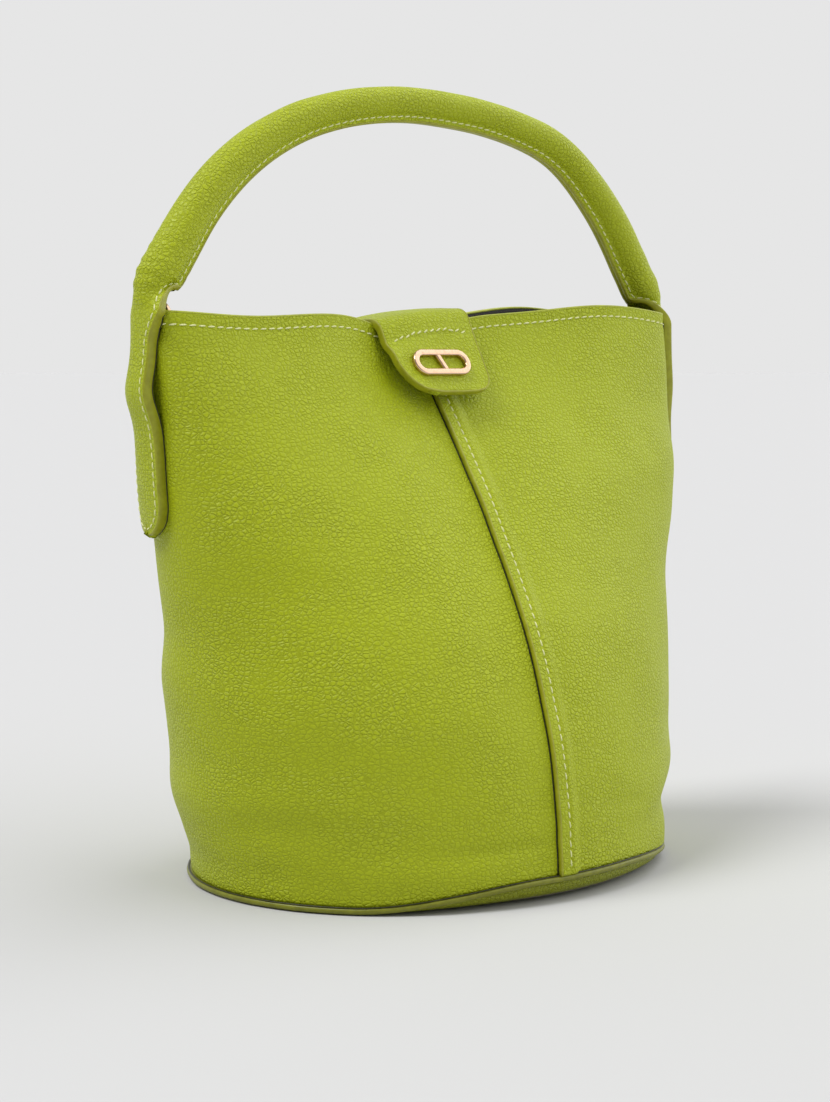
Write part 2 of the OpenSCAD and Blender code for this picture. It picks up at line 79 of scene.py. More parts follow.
WELT_OUT = 2.5
BASE_W = 2 * (welt_high.x - WELT_OUT)
BASE_D = 2 * (welt_high.y - WELT_OUT)
WELT_H = welt_high.z
WALL_FOOT = WELT_H - 0.5
RIM_H = panel_high.z
MOUTH_W = 280
MOUTH_GAP = 18
MOUTH_END_D = 32
MOUTH_BACK = 9
RIM_DIP = 9.5
RIM_HUMP = 5
FACING_FOOT = facing_low.z
LEATHER = 1.6
FACING = 1.3
LINING = 0.7
LAP_EDGE = 9
LAP_LIFT = 2.2
LAP_W = 13
LAP_STITCH = 5
RIM_STITCH = 5


def smooth(value):
    s = min(1.0, max(0.0, value))
    return s * s * (3 - 2 * s)


def bell(value, middle, width):
    """1 at its middle, falling to 0 over about twice its width."""
    return math.exp(-(((value - middle) / width) ** 2))


def blend_between(low, high, share):
    return low + (high - low) * share


def ripple(spot, size, seed=0.0):
    """Slow noise from -1 to 1, with hills about size millimetres across."""
    return noise.noise(Vector(spot) / size + Vector((seed, -seed, 2 * seed)))


# ------------------------------------------------------------------ mesh makers
def finish_mesh(name, bm, materials):
    mesh = bpy.data.meshes.new(name)
    bmesh.ops.scale(bm, vec=(MM, MM, MM), verts=bm.verts)
    bm.to_mesh(mesh)
    bm.free()
    for material in materials:
        mesh.materials.append(material)
    mesh.polygons.foreach_set("use_smooth", [True] * len(mesh.polygons))
    piece = bpy.data.objects.new(name, mesh)
    bpy.context.scene.collection.objects.link(piece)
    return piece


def placed_grid(across, along, place):
    """A grid whose points are placed by their shares, 0 to 1, across and along it."""
    bm = bmesh.new()
    bmesh.ops.create_grid(bm, x_segments=across, y_segments=along, size=1)
    for vert in bm.verts:
        vert.co = place((vert.co.x + 1) / 2, (vert.co.y + 1) / 2)
    bmesh.ops.remove_doubles(bm, verts=bm.verts, dist=0.003)
    return bm


def face_outwards(bm, spot, direction):
    """Turns every face over if the one nearest to spot looks against the direction."""
    bm.normal_update()
    nearest = min(bm.faces, key=lambda face: (face.calc_center_median() - spot).length_squared)
    if nearest.normal.dot(direction) < 0:
        bmesh.ops.reverse_faces(bm, faces=bm.faces)


def skin(name, across, along, place, thickness, materials, spot, direction):
    """A sheet of leather or cloth. Its outer face is placed, and it thickens inwards."""
    bm = placed_grid(across, along, place)
    face_outwards(bm, Vector(spot), Vector(direction))
    piece = finish_mesh(name, bm, materials)
    wall = piece.modifiers.new("thickness", "SOLIDIFY")
    wall.thickness = thickness * MM
    wall.offset = -1
    return piece


def tube(name, across, along, place, materials):
    """A closed tube: its first and last points across meet, and both ends are filled."""
    bm = placed_grid(across, along, place)
    rims = [edge for edge in bm.edges if edge.is_boundary]
    if rims:
        bmesh.ops.holes_fill(bm, edges=rims, sides=0)
    bmesh.ops.recalc_face_normals(bm, faces=bm.faces)
    return finish_mesh(name, bm, materials)


def join_bmesh(target, part):
    mesh = bpy.data.meshes.new("part")
    part.to_mesh(mesh)
    part.free()
    target.from_mesh(mesh)
    bpy.data.meshes.remove(mesh)


def squared_round(share, power):
    """The cosine and sine of a share of a full turn, squared off by a power below 1."""
    c, s = math.cos(2 * math.pi * share), math.sin(2 * math.pi * share)
    return math.copysign(abs(c) ** power, c), math.copysign(abs(s) ** power, s)


def round_turn(share):
    """Degrees round the bag for a share of a full turn; the last share meets the first."""
    return -180 + 360 * share if share < 1 else -180


def run_lengths(line):
    """How far along a line each of its points lies."""
    run = [0.0]
    for a, b in zip(line, line[1:]):
        run.append(run[-1] + (b - a).length)
    return run


def places_along(line, distances):
    """For each distance along a line, the point before it and the share of the way on."""
    run = run_lengths(line)
    i = 0
    for distance in distances:
        while run[i + 1] < distance:
            i += 1
        yield i, (distance - run[i]) / (run[i + 1] - run[i])


def bead(name, line, faces, height, width, materials, closed=False, across=14):
    """Painted edge: a rounded band swept along a line of points. faces gives the leather's
    outward direction at each point, and height may change along the line."""
    count = len(line)

    def place(u, v):
        i = min(count - 1, round(v * (count - 1)))
        if closed and i == count - 1:
            i = 0
        before = line[(i - 1) % count if closed else max(0, i - 1)]
        after = line[(i + 1) % (count - 1) if closed else min(count - 1, i + 1)]
        run = (after - before).normalized()
        out = faces[i].normalized()
        side = run.cross(out).normalized()
        tall = height(i / (count - 1)) if callable(height) else height
        c, s = squared_round(u, 0.62)
        return line[i] + side * (width / 2 * c) + out * (tall / 2 * s)

    return tube(name, across, count - 1, place, materials)


def threads(name, line, faces, material, pitch=3.9, length=3.1, thick=0.72, sink=0.12, slant=7,
            seed=1):
    """A row of stitches along a line, each a short rounded thread that dips in at both ends."""
    chance = random.Random(seed)
    bm = bmesh.new()
    whole = run_lengths(line)[-1]
    count = int(whole / pitch)
    step = whole / max(1, count)
    for i, part in places_along(line, [(stitch + 0.5) * step for stitch in range(count)]):
        middle = line[i].lerp(line[i + 1], part)
        out = faces[i].lerp(faces[i + 1], part).normalized()
        run = (line[i + 1] - line[i]).normalized()
        run = (run - out * run.dot(out)).normalized()
        run = Matrix.Rotation(rad(slant + chance.uniform(-3, 3)), 3, out) @ run
        side = out.cross(run)
        one = bmesh.new()
        bmesh.ops.create_uvsphere(one, u_segments=8, v_segments=7, radius=1)
        long = length / 2 * chance.uniform(0.94, 1.04)
        for vert in one.verts:
            end = vert.co.z
            along = math.copysign(abs(end) ** 0.8, end)
            sag = -0.35 * thick * abs(along) ** 3
            vert.co = (middle + run * (along * long) + side * (vert.co.x * thick / 2)
                       + out * (vert.co.y * thick / 2 + sag + thick / 2 - sink * 2))
        join_bmesh(bm, one)
    bmesh.ops.recalc_face_normals(bm, faces=bm.faces)
    return finish_mesh(name, bm, [material])


def settle(piece, slot, *nodes, bend=None, body="bag"):
    """Hides the CAD nodes a piece stands for, and ties the piece to the body it moves with. The slot
    is not used.
    A piece that bends has its transform baked into its mesh and is tied to no body."""
    if nodes:
        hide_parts(*nodes)
    if bend:
        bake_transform(piece)
    else:
        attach(piece, body)
    return piece


# ------------------------------------------------------------------ materials
class Wire:
    """A value in a material. Arithmetic on it adds the Math nodes."""

    def __init__(self, paint, socket):
        self.paint = paint
        self.socket = socket

    def reckon(self, operation, first, second):
        return self.paint.node("ShaderNodeMath", {"operation": operation}, {0: first, 1: second})

    def __add__(self, other):
        return self.reckon("ADD", self, other)

    def __radd__(self, other):
        return self.reckon("ADD", other, self)

    def __sub__(self, other):
        return self.reckon("SUBTRACT", self, other)

    def __rsub__(self, other):
        return self.reckon("SUBTRACT", other, self)

    def __mul__(self, other):
        return self.reckon("MULTIPLY", self, other)

    def __rmul__(self, other):
        return self.reckon("MULTIPLY", other, self)


class Nodes:
    """A node tree, and what is made in it."""

    def __init__(self, tree):
        self.tree = tree

    def node(self, kind, settings=None, values=None, out=0):
        made = self.tree.nodes.new(kind)
        for key, value in (settings or {}).items():
            setattr(made, key, value)
        for key, value in (values or {}).items():
            self.feed(made.inputs[key], value)
        return Wire(self, made.outputs[out])

    def feed(self, socket, value):
        if isinstance(value, Wire):
            self.tree.links.new(value.socket, socket)
        else:
            socket.default_value = value

    def step(self, value, low, high, to_low=0.0, to_high=1.0):
        """A smooth step between two values."""
        return self.node("ShaderNodeMapRange", {"interpolation_type": "SMOOTHSTEP"},
                         {"Value": value, "From Min": low, "From Max": high,
                          "To Min": to_low, "To Max": to_high})

    def mix(self, share, first, second, how="MIX"):
        return self.node("ShaderNodeMix", {"data_type": "RGBA", "blend_type": how},
                         {0: share, 6: first, 7: second}, out=2)


class Paint(Nodes):
    """One material and its nodes."""

    def __init__(self, name):
        self.material = bpy.data.materials.new(name)
        self.material.use_nodes = True
        super().__init__(self.material.node_tree)
        self.shader = self.tree.nodes["Principled BSDF"]

    def set(self, **values):
        for key, value in values.items():
            self.feed(self.shader.inputs[key.replace("_", " ")], value)

    def millimetres(self):
        """The point on the piece, in millimetres."""
        spot = self.node("ShaderNodeTexCoord", out="Object")
        return self.node("ShaderNodeVectorMath", {"operation": "SCALE"},
                         {0: spot, "Scale": 1 / MM})

    def clouds(self, spot, size, detail=2.0, rough=0.5):
        return self.node("ShaderNodeTexNoise", {},
                         {"Vector": spot, "Scale": 1 / size, "Detail": detail, "Roughness": rough})

    def bump(self, height, depth, strength=1.0):
        self.set(Normal=self.node("ShaderNodeBump", {},
                                  {"Height": height, "Distance": depth * MM,
                                   "Strength": strength}))


def pebbled_leather(name, colour, groove, pale, pebble=2.1, depth=0.42):
    """Grained leather: rounded pebbles parted by fine grooves, pressed flatter in places."""
    paint = Paint(name)
    spot = paint.node("ShaderNodeVectorMath", {"operation": "MULTIPLY"},
                      {0: paint.millimetres(), 1: (1, 1, 1.22)})
    drift = paint.node("ShaderNodeTexNoise", {}, {"Vector": spot, "Scale": 0.22, "Detail": 1.0},
                       out="Color")
    warped = paint.node("ShaderNodeVectorMath", {"operation": "MULTIPLY_ADD"},
                        {0: drift, 1: (1.3, 1.3, 1.3), 2: spot})
    edge = paint.node("ShaderNodeTexVoronoi", {"feature": "DISTANCE_TO_EDGE"},
                      {"Vector": warped, "Scale": 1 / pebble, "Randomness": 0.82})
    small = paint.node("ShaderNodeTexVoronoi", {"feature": "DISTANCE_TO_EDGE"},
                       {"Vector": warped, "Scale": 1.9 / pebble, "Randomness": 0.9})
    pebbles = paint.step(edge, 0.0, 0.27)
    creases = paint.step(small, 0.0, 0.22)
    fine = paint.clouds(spot, 0.3, 2.0)
    patches = paint.clouds(spot, 30, 2.0)
    pressed = paint.step(patches, 0.36, 0.62, 0.5, 1.0)
    height = (pebbles * 0.9 + creases * 0.09 + fine * 0.09) * pressed
    paint.bump(height, depth, 1.0)
    top = paint.mix(paint.step(patches, 0.3, 0.7), colour, pale)
    line = paint.step(edge, 0.0, 0.12)
    paint.set(Base_Color=paint.mix(line, groove, top), Roughness=0.50 - 0.11 * pebbles + 0.06 * fine)
    paint.shader.inputs["Specular IOR Level"].default_value = 0.31
    return paint.material


def edge_coat(name, colour, dark):
    """Edge paint: smooth and slightly glossy, a little uneven where it was wiped."""
    paint = Paint(name)
    spot = paint.millimetres()
    uneven = paint.clouds(spot, 3.2, 3.0)
    paint.bump(uneven, 0.22, 0.5)
    paint.set(Base_Color=paint.mix(paint.step(uneven, 0.3, 0.75), colour, dark), Roughness=0.42)
    return paint.material


def thread_finish(name, colour, dark):
    """Waxed thread, with its twist as fine slanting ridges."""
    paint = Paint(name)
    spot = paint.millimetres()
    twist = paint.node("ShaderNodeTexWave", {"wave_profile": "SIN", "bands_direction": "DIAGONAL"},
                       {"Vector": spot, "Scale": 1.1, "Distortion": 0.4})
    paint.bump(twist, 0.08, 0.6)
    paint.set(Base_Color=paint.mix(twist, dark, colour), Roughness=0.62)
    return paint.material


def plated(name, colour):
    """Polished pale gold plating, with faint wear."""
    paint = Paint(name)
    spot = paint.millimetres()
    wear = paint.clouds(spot, 1.6, 4.0, 0.6)
    paint.set(Base_Color=paint.mix(paint.step(wear, 0.35, 0.8), colour,
                                   (colour[0] * 0.86, colour[1] * 0.82, colour[2] * 0.78, 1)),
              Roughness=0.14 + 0.12 * wear, Metallic=1.0)
    return paint.material


def woven(name, colour, dark, pitch=0.55):
    """Plain woven lining cloth."""
    paint = Paint(name)
    spot = paint.millimetres()
    warp = paint.node("ShaderNodeTexWave", {"wave_profile": "SIN", "bands_direction": "X"},
                      {"Vector": spot, "Scale": 0.32 / pitch})
    weft = paint.node("ShaderNodeTexWave", {"wave_profile": "SIN", "bands_direction": "Z"},
                      {"Vector": spot, "Scale": 0.32 / pitch})
    weave = warp * 0.5 + weft * 0.5
    paint.bump(weave, 0.12, 0.7)
    paint.set(Base_Color=paint.mix(weave, dark, colour), Roughness=0.85)
    return paint.material


def fibre_board(name, colour, dark):
    paint = Paint(name)
    spot = paint.millimetres()
    fibres = paint.clouds(spot, 0.8, 5.0, 0.7)
    paint.bump(fibres, 0.1, 0.5)
    paint.set(Base_Color=paint.mix(fibres, dark, colour), Roughness=0.9)
    return paint.material


lime = pebbled_leather("lime_leather", (0.385, 0.455, 0.004, 1), (0.325, 0.378, 0.003, 1),
                       (0.415, 0.488, 0.007, 1))
lime_fine = pebbled_leather("lime_leather_fine", (0.385, 0.452, 0.004, 1),
                            (0.330, 0.380, 0.003, 1), (0.410, 0.480, 0.007, 1), 1.6, 0.34)
# Painted shade: the base leather is a darker copy of the lime leather, for its shaded underside.
shaded_lime_base = pebbled_leather("lime_leather_base_shaded", (0.235, 0.268, 0.006, 1),
                            (0.175, 0.196, 0.003, 1), (0.262, 0.296, 0.009, 1))
inner_brown = pebbled_leather("inner_brown_leather", (0.016, 0.012, 0.008, 1),
                              (0.009, 0.007, 0.005, 1), (0.020, 0.015, 0.010, 1), 1.2, 0.12)
olive_edge = edge_coat("olive_edge_paint", (0.330, 0.345, 0.008, 1), (0.262, 0.268, 0.005, 1))
# Painted shade: the welt's edge paint is a darker copy of the olive edge paint, for the shade at the
# foot of the bag.
welt_shaded_edge = edge_coat("welt_shaded_edge_paint", (0.205, 0.218, 0.005, 1), (0.150, 0.158, 0.003, 1))
# Painted highlight: the rim's edge paint is a lighter copy of the olive edge paint.
rim_highlight_coat = edge_coat("rim_edge_highlight_paint", (0.430, 0.480, 0.030, 1), (0.350, 0.385, 0.016, 1))
# Painted shadow: a near-black coat for thin beads that stand for the shadow gaps beside the lap
# edges, along the top of the welt and at the front edges of the flat ends.
painted_shadow_coat = edge_coat("painted_shadow_line_paint", (0.030, 0.031, 0.003, 1), (0.016, 0.016, 0.002, 1))
pale_thread = thread_finish("pale_thread", (0.90, 0.92, 0.50, 1), (0.66, 0.68, 0.28, 1))
gold = plated("pale_gold", (0.74, 0.52, 0.35, 1))
lining_cloth = woven("dark_lining", (0.045, 0.040, 0.035, 1), (0.012, 0.011, 0.010, 1))
board = fibre_board("board", (0.20, 0.18, 0.15, 1), (0.12, 0.10, 0.08, 1))


# ------------------------------------------------------------------ body surface
def half_width(share):
    return BASE_W / 2 + (MOUTH_W - BASE_W) / 2 * (1 - (1 - share) ** 1.6)


BASE_CURL = 8


def base_lift(turn):
    """The soft base curls up off the ground at the front right."""
    return BASE_CURL * smooth((turn + 143) / 46) * (1 - smooth((turn + 78) / 66))


def body_depth(x, share, off):
    across = min(1.0, abs(x) / (half_width(share) + off))
    boxy = 2 + 0.3 * share + 2.7 * max(0.0, 2 * share - 1) ** 2
    middle = MOUTH_GAP / 2 + (BASE_D - MOUTH_GAP) / 2 * (1 - share ** 2.4) ** 1.45
    ends = ((MOUTH_END_D - MOUTH_GAP) / 2 * smooth((share - 0.72) / 0.28)
            * (1 - math.exp(-((x / 58) ** 2))))
    return (middle + ends + off) * (1 - across ** boxy) ** (1 / boxy)


def rim_height(x, side):
    """The rim sags under the strap and stands up to its right."""
    if side < 0:
        return (RIM_H - RIM_DIP * bell(x, -12, 25) - 2.2 * bell(x, -98, 32)
                + RIM_HUMP * bell(x, 98, 43))
    return (RIM_H - RIM_DIP / 2 * bell(x, -8, 28) - 3.2 * bell(x, -95, 42)
            + 0.95 * RIM_HUMP * bell(x, 74, 38))


def bare_wall(turn, share, off):
    """The body's form before the leather's own dents. turn is in degrees round the bag."""
    angle = rad(turn)
    x = (half_width(share) + off) * math.cos(angle)
    side = -1 if turn < 0 else 1
    y = MOUTH_BACK * share + side * body_depth(x, share, off)
    foot = WALL_FOOT + base_lift(turn)
    return Vector((x, y, foot + share * (rim_height(x, side) - foot)))


def away(turn, middle):
    """The angle between a turn and a middle, the short way round."""
    return (turn - middle + 180) % 360 - 180


def slack(turn, share, spot):
    """How far the soft leather stands out of, or sinks into, its plain form."""
    z = spot.z
    # The leather is calm where it is sewn, at the foot and at the rim.
    calm = smooth(share / 0.10) * (1 - smooth((share - 0.80) / 0.14))
    sway = (1.1 * ripple(spot, 62, 3.1) + 0.5 * ripple(spot, 24, 7.7)) * calm
    # Each side of the bag has its own bellies and hollows, by height.
    right = (4.3 * smooth((z - 118) / 40) + 1.8 * bell(z, 174, 15) + 2.4 * bell(z, 42, 10)
             - 1.5 * bell(z, 24, 6) + 1.8 * bell(z, 6, 6)) * bell(away(turn, -12), 0, 48)
    left = (-2.3 * smooth((z - 84) / 26) * (1 - smooth((z - 224) / 12)) - 1.0 * bell(z, 108, 16)
            + 2.6 * bell(z, 40, 13) - 0.9 * bell(z, 13, 6)) * bell(away(turn, 160), 0, 46)
    # The left handle end pulls the rim in.
    tuck = -3.2 * smooth((z - 224) / 10) * bell(away(turn, 180), 0, 13)
    # Slanting creases above the base: at the right, at the front, and at the left and back.
    crease = (-1.5 * bell(z, 30 + 0.14 * (turn + 30), 5) * bell(turn, -26, 20)
              + 0.9 * bell(z, 14, 7) * bell(turn, -34, 26))
    toe = (-0.8 * bell(z, 24 + 0.10 * (turn + 105), 3.2) * bell(turn, -108, 12)
           - 0.6 * bell(z, 36 - 0.12 * (turn + 80), 3.0) * bell(turn, -72, 9)
           + 0.9 * bell(z, 15, 7) * bell(turn, -122, 22))
    heel = (-1.2 * bell(z, 34, 8) * bell(turn, -158, 14)
            - 1.8 * bell(z, 40, 9) * bell(turn, 70, 20) + 1.2 * bell(z, 22, 8) * bell(turn, 78, 22))
    return sway + right + left + tuck + crease + toe + heel


def wall(turn, share, off):
    """A point of the body leather, off millimetres out of its surface."""
    spot = bare_wall(turn, share, off)
    small = 0.4
    across = bare_wall(min(179.9, turn + small), share, off) - bare_wall(max(-179.9, turn - small),
                                                                          share, off)
    up = bare_wall(turn, min(1, share + 0.004), off) - bare_wall(turn, max(0, share - 0.004), off)
    out = across.cross(up)
    if out.length < 1e-9:
        return spot
    return spot + out.normalized() * slack(turn, share, spot)


def wall_out(turn, share, off=0.0):
    """The outward direction of the leather."""
    d = 0.25
    across = wall(min(179.9, turn + d), share, off) - wall(max(-179.9, turn - d), share, off)
    up = (wall(turn, min(1, share + 0.003), off) - wall(turn, max(0, share - 0.003), off))
    return across.cross(up).normalized()


def turn_of(x, share, side):
    return side * math.degrees(math.acos(max(-1, min(1, x / half_width(share)))))


def lap_rise(gap):
    """How far the leather lies over the other panel, gap millimetres in from its raw edge."""
    dent = 0.45 * bell(gap, LAP_STITCH, 0.9)
    return LAP_LIFT * (1 - smooth((gap - 6.5) / (LAP_W - 6.5))) - dent


LAP_COLUMNS = 18
PANEL_COLUMNS = 206
PANEL_ROWS = 150


def rows_share(v):
    """Rows lie closer together near the foot and the rim."""
    return blend_between(v, 0.5 - 0.5 * math.cos(math.pi * v), 0.35)


def panel_point(side, u, v):
    """A point of one body panel, from its raw edge at u 0. side is 1 for the right panel,
    which laps at the front, and -1 for the left one, which laps at the back."""
    share = rows_share(v)
    column = u * PANEL_COLUMNS
    if column <= LAP_COLUMNS:
        gap = column * (LAP_W + 2) / LAP_COLUMNS
        turn = turn_of(-LAP_EDGE + gap, share, -1)
    else:
        gap = LAP_W + 2
        first = turn_of(-LAP_EDGE + gap, share, -1)
        last = turn_of(2, share, 1)
        turn = blend_between(first, last, (column - LAP_COLUMNS) / (PANEL_COLUMNS - LAP_COLUMNS))
    if side < 0:
        turn = turn + 180 if turn <= 0 else turn - 180
    spot = wall(turn, share, 0.0)
    out = wall_out(turn, share)
    down = (1 - share) * (RIM_H - WALL_FOOT)
    sewn = 0.30 * bell(down, RIM_STITCH, 1.0)
    return spot + out * (lap_rise(gap) - sewn)


LIFT_STEPS = 90


def lap_line(side, gap, lift, low=0.0, high=1.0):
    """Points along a lap, gap in from its raw edge, and the leather's outward directions."""
    line, faces = [], []
    for step in range(LIFT_STEPS + 1):
        share = blend_between(low, high, step / LIFT_STEPS)
        turn = turn_of(-LAP_EDGE + gap, share, -1)
        if side < 0:
            turn = turn + 180
        out = wall_out(turn, share)
        line.append(wall(turn, share, 0.0) + out * (lap_rise(gap) + lift))
        faces.append(out)
    return line, faces


def panel(side, name):
    middle = bare_wall(0 if side > 0 else 179.9, 0.5, 0)
    return skin(name, PANEL_COLUMNS, PANEL_ROWS, lambda u, v: panel_point(side, u, v), LEATHER,
                [lime], middle, (side, 0, 0))


right_panel = panel(1, "right_body_leather")
left_panel = panel(-1, "left_body_leather")
settle(right_panel, "body_leather", "right_body_panel")
settle(left_panel, "body_leather", "left_body_panel")

for side, name in ((1, "front_lap"), (-1, "back_lap")):
    line, faces = lap_line(side, 0.0, -0.80, 0.0, 0.998)
    edge = bead(name + "_edge", line, faces, 2.0, 1.2, [olive_edge])
    settle(edge, "painted_edge")
    # Painted shadow: a thin dark bead in the gap at the foot of each lap's raised edge.
    line, faces = lap_line(side, -0.75, 0.1 - LAP_LIFT, 0.0, 0.985)
    foot = bead(name + "_foot", line, faces, 0.5, 0.55, [painted_shadow_coat], across=8)
    settle(foot, "painted_edge")
    line, faces = lap_line(side, LAP_STITCH, 0.0, 0.012, 0.985)
    row = threads(name + "_thread", line, faces, pale_thread, seed=4 + side)
    settle(row, "body_leather")


# ------------------------------------------------------------------ rim
def lap_cover(turn, share):
    """The rise of whichever lap covers this part of the wall."""
    x = half_width(share) * math.cos(rad(turn))
    gap = x + LAP_EDGE if turn < 0 else LAP_EDGE - x
    if gap < 0 or gap > LAP_W:
        return 0.0
    return LAP_LIFT * (1 - smooth((gap - 6.5) / (LAP_W - 6.5)))


def ring_line(share, lift, steps=260, start=-179.9, end=179.9):
    line, faces = [], []
    for step in range(steps + 1):
        turn = blend_between(start, end, step / steps)
        out = wall_out(turn, share)
        line.append(wall(turn, share, 0.0) + out * (lap_cover(turn, share) + lift))
        faces.append(out)
    return line, faces


def ring_skin(name, low, high, off, thickness, rows, material, columns=220):
    def place(u, v):
        turn = -180 + 360 * u if 0 < u < 1 else 179.95
        share = blend_between(low, high, v)
        out = wall_out(turn, share)
        return wall(turn, share, 0.0) + out * off

    return skin(name, columns, rows, place, thickness, [material], bare_wall(0, low, 0), (1, 0, 0))


def share_at(z):
    return (z - WALL_FOOT) / (RIM_H - WALL_FOOT)


facing = ring_skin("mouth_facing_leather", share_at(FACING_FOOT), 1.0, -LEATHER, FACING, 14,
                   inner_brown)
settle(facing, "body_leather", "mouth_facing")
lining = ring_skin("lining_cloth", 0.02, share_at(FACING_FOOT) + 0.01, -LEATHER - 0.15, LINING, 60,
                   lining_cloth, 150)
settle(lining, "lining", "lining_wall")

line, faces = ring_line(1.0, -(LEATHER + FACING) / 2)
rim_edge = bead("rim_edge", line, faces, LEATHER + FACING + 0.2, 1.1, [rim_highlight_coat], closed=True)
settle(rim_edge, "painted_edge")
line, faces = ring_line(1 - RIM_STITCH / (RIM_H - WALL_FOOT), -0.1)
rim_thread = threads("rim_thread", line, faces, pale_thread, pitch=4.1, seed=11)
settle(rim_thread, "body_leather")


# ------------------------------------------------------------------ base
def base_edge(turn, grow, rise):
    angle = rad(turn)
    return Vector(((BASE_W / 2 + grow) * math.cos(angle), (BASE_D / 2 + grow) * math.sin(angle),
                   base_lift(turn) + rise))


WELT_THICK = 2.7
WELT_REACH = 2.3


def welt_point(u, v):
    """The welt is a rounded strip under the foot of the leather."""
    turn = round_turn(v)
    grow = WELT_OUT / 2 - 1.6 + 0.35 * ripple(base_edge(turn, 0, 0), 16, 1.3)
    middle = base_edge(turn, grow, WELT_THICK / 2 + 0.3)
    out = Vector((math.cos(rad(turn)) / BASE_W, math.sin(rad(turn)) / BASE_D, 0))
    out.normalize()
    c, s = squared_round(u, 0.7)
    return middle + out * (WELT_REACH * c) + Vector((0, 0, WELT_THICK / 2 * s))


welt = tube("base_welt_strip", 16, 240, welt_point, [welt_shaded_edge])
settle(welt, "painted_edge", "base_welt")


def welt_shadow_point(u, v):
    """Painted shadow: the dark coat that runs along the top of the welt, where the body's leather
    meets it.
    """
    turn = round_turn(v)
    middle = base_edge(turn, WELT_OUT / 2 - 0.1, WELT_THICK + 0.40)
    out = Vector((math.cos(rad(turn)), math.sin(rad(turn)), 0))
    angle = 2 * math.pi * u
    return middle + out * (0.5 * math.cos(angle)) + Vector((0, 0, 0.22 * math.sin(angle)))


welt_shadow_line = tube("base_welt_shadow_line", 8, 240, welt_shadow_point, [painted_shadow_coat])
settle(welt_shadow_line, "painted_edge")


def base_point(u, v):
    """The base leather: flat where it rests, curling up to the welt round its edge."""
    turn = round_turn(u)
    out = max(0.0, (v - 0.80) / 0.20)
    edge = base_edge(turn, 0.6, 0)
    lift = (base_lift(turn) + 0.7) * (1 - math.sqrt(max(0.0, 1 - out ** 2.4)))
    return Vector((edge.x * v, edge.y * v, 0.02 + lift))


BASE_LEATHER = 1.8
base_leather = skin("base_leather", 150, 46, base_point, BASE_LEATHER, [shaded_lime_base],
                    (20, 0, 0), (0, 0, -1))
settle(base_leather, "base_leather", "base_panel")


FLOOR_IN = 4.5
FLOOR_CLOTH = 0.5
FLOOR_Z = 5.2


def floor_point(u, v):
    """The lining's floor lies slightly rumpled on the base board."""
    turn = round_turn(u)
    edge = base_edge(turn, -FLOOR_IN, 0)
    rise = base_lift(turn) * smooth((v - 0.75) / 0.25)
    return Vector((edge.x * v, edge.y * v, FLOOR_Z + rise
                   + 0.5 * ripple((edge.x * v, edge.y * v, 0), 30, 5.0) * (1 - v)))


floor_cloth = skin("lining_floor_cloth", 100, 30, floor_point, FLOOR_CLOTH, [lining_cloth],
                   (20, 0, 5), (0, 0, 1))
settle(floor_cloth, "lining", "lining_floor")

# ------------------------------------------------------------------ handle
ROLL_D = 15
CROWN_R = 190
CROWN_ANGLE = 16.5
SHOULDER_R = 122
LEG_SLOPE = 56
END_HALF = 13.2
ROLL_R = 6.25
RIGHT_REACH = 5
ARCH_STOPS = 46
LEG_STOPS = 10
NECK_STOPS = 22
SIDE_STOPS = 34
TIP_STOPS = 14
END_TIP = RIM_H - 90
END_THICK = 4.2
HANDLE_LEATHER = 1.9
BACKING = 2.1
OPEN_TOP = RIM_H + 21
OPEN_FOOT = RIM_H - 3
STITCH_IN = 2.3
FIN_STITCH_IN = 2.0


HANDLE_TOP = wrap_high.z
crown_z = HANDLE_TOP - ROLL_D / 2
shoulder_x = (CROWN_R - SHOULDER_R) * math.sin(rad(CROWN_ANGLE))
shoulder_z = crown_z - CROWN_R + (CROWN_R - SHOULDER_R) * math.cos(rad(CROWN_ANGLE))


def arch_spine(side, angle):
    """The outside of the roll, at an angle round from its crown: x outwards, and z.
    The arch has settled towards its right end."""
    full = ROLL_D / 2 + 1.1 * smooth(angle / LEG_SLOPE)
    if angle < CROWN_ANGLE:
        middle, radius = (0, crown_z - CROWN_R), CROWN_R
    else:
        middle, radius = (shoulder_x, shoulder_z), SHOULDER_R
    radius += full
    settled = 0
    if side > 0:
        settled = RIGHT_REACH * smooth(angle / 50) + 9.5 * bell(angle, 19, 18) * smooth(angle / 9)
    return Vector((middle[0] + radius * math.sin(rad(angle)) + settled, 0,
                   middle[1] + radius * math.cos(rad(angle))))


def end_middle(side, z):
    """How far back the middle of a flat end lies. The left one has slipped to the back."""
    if side > 0:
        return MOUTH_BACK * share_at(z) + 1
    return blend_between(17, MOUTH_BACK, smooth((z - RIM_H + 14) / 20))


END_PROFILES = {}


def end_profile(side, z):
    """The curve that a flat end's outer face takes round the body at a height: points that
    run from front to back, each with its distance along the curve from the end's middle."""
    key = (side, round(z, 2))
    if key in END_PROFILES:
        return END_PROFILES[key]
    share = share_at(min(z, RIM_H - 18))
    turns = [k * 2.5 if side > 0 else away(180 - k * 2.5, 0) for k in range(-30, 31)]
    points = []
    for turn in turns:
        spot = wall(turn, share, 0.0)
        points.append(Vector((side * spot.x, spot.y)))
    outer = []
    for k, point in enumerate(points):
        run = points[min(len(points) - 1, k + 1)] - points[max(0, k - 1)]
        outer.append(point + Vector((run.y, -run.x)).normalized() * (END_THICK + 0.4))
    middle = end_middle(side, z)
    near = min(range(len(outer)), key=lambda k: abs(outer[k].y - middle))
    arcs = run_lengths(outer)
    shift = arcs[near] + (middle - outer[near].y)
    END_PROFILES[key] = [(arc - shift, point) for arc, point in zip(arcs, outer)]
    return END_PROFILES[key]


